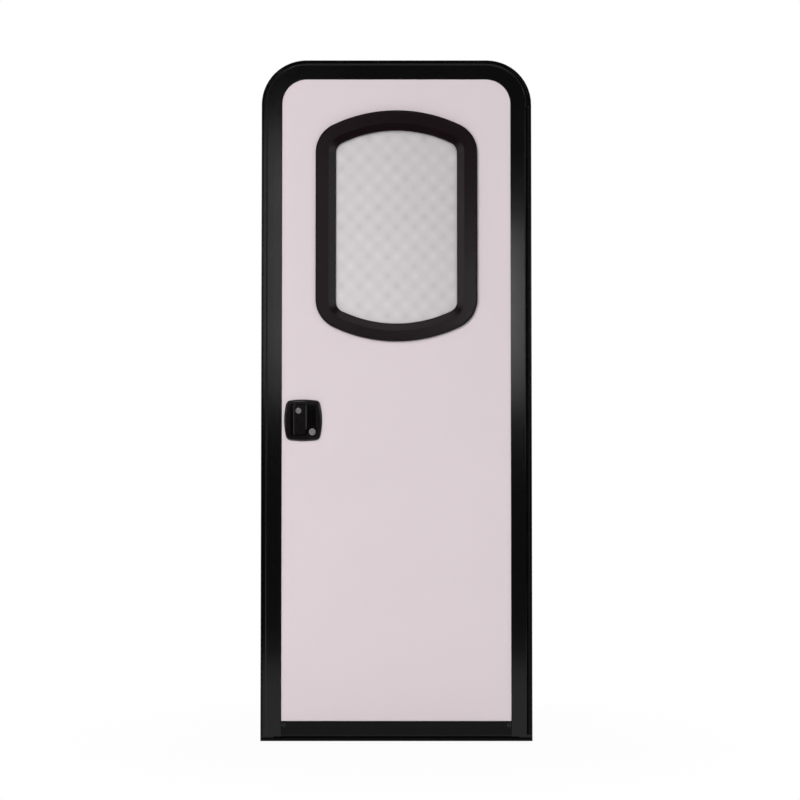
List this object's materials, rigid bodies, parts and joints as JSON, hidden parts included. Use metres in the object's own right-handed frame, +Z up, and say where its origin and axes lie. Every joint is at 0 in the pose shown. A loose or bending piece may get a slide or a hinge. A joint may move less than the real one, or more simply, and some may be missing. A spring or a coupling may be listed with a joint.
{
  "type": "caravan entry door",
  "caption": "Caravan entry door: round-topped black frame and outward-opening insulated leaf with a bowed-end window, obscure pane, full-length side hinge and paddle lock.",
  "frame": {"origin": "bottom middle of the frame's flange, on the flat face that lies on the vehicle's wall", "axes": "+X to the viewer's right from outside (hinge side), +Y into the vehicle, +Z up"},
  "size_m": [0.702, 0.0675, 1.766],
  "materials": {
    "frame_black": "satin black powder coat on extruded aluminium",
    "panel_white": "smooth off-white coated sheet",
    "panel_foam": "rigid foam",
    "seal_rubber": "matt rubber",
    "ring_black": "moulded satin black",
    "pane_obscure": "obscure, faintly dimpled",
    "lock_black": "satin black coated die casting",
    "steel": "plain steel",
    "key_nickel": "satin nickel"
  },
  "bodies": {
    "frame": {"jamb_hoop": "frame_black", "sill": "frame_black", "jamb_seal": "seal_rubber", "strike_plate": "steel", "hinge_jamb_strip": "frame_black", "hinge_pin": "steel"},
    "leaf": {"leaf_hoop": "frame_black", "leaf_bottom_rail": "frame_black", "outer_skin": "panel_white", "panel_core": "panel_foam", "inner_skin": "panel_white", "hinge_leaf_strip": "frame_black", "window_outer_ring": "ring_black", "window_glazing_seal": "seal_rubber", "window_pane": "pane_obscure", "window_inner_ring": "ring_black", "lock_bezel": "lock_black", "lock_case": "steel", "bolt_faceplate": "steel", "latch_bolt": "steel", "deadbolt": "steel", "handle_pivot_pin": "steel", "lock_inner_plate": "lock_black", "inner_lever": "lock_black", "deadbolt_thumbturn": "lock_black"},
    "handle": {"paddle_handle": "lock_black"},
    "handle_key": {"handle_cylinder": "key_nickel"},
    "deadbolt_key": {"deadbolt_cylinder": "key_nickel"}
  },
  "joints": [
    {"name": "door_swing", "type": "hinge", "parent": "frame", "child": "leaf", "pos_m": [0.3422, -0.015, 0.84], "axis": [0, 0, 1], "range_deg": [0, 170]},
    {"name": "handle_pull", "type": "hinge", "parent": "leaf", "child": "handle", "pos_m": [-0.264, -0.017, 0.827], "axis": [0, 0, -1], "range_deg": [0, 40], "stiffness_Nm_per_rad": 0.5},
    {"name": "handle_key_turn", "type": "hinge", "parent": "handle", "child": "handle_key", "pos_m": [-0.2537, -0.018, 0.8518], "axis": [0, 1, 0], "range_deg": [0, 90]},
    {"name": "deadbolt_key_turn", "type": "hinge", "parent": "leaf", "child": "deadbolt_key", "pos_m": [-0.2175, -0.017, 0.7968], "axis": [0, 1, 0], "range_deg": [0, 90]}
  ]
}
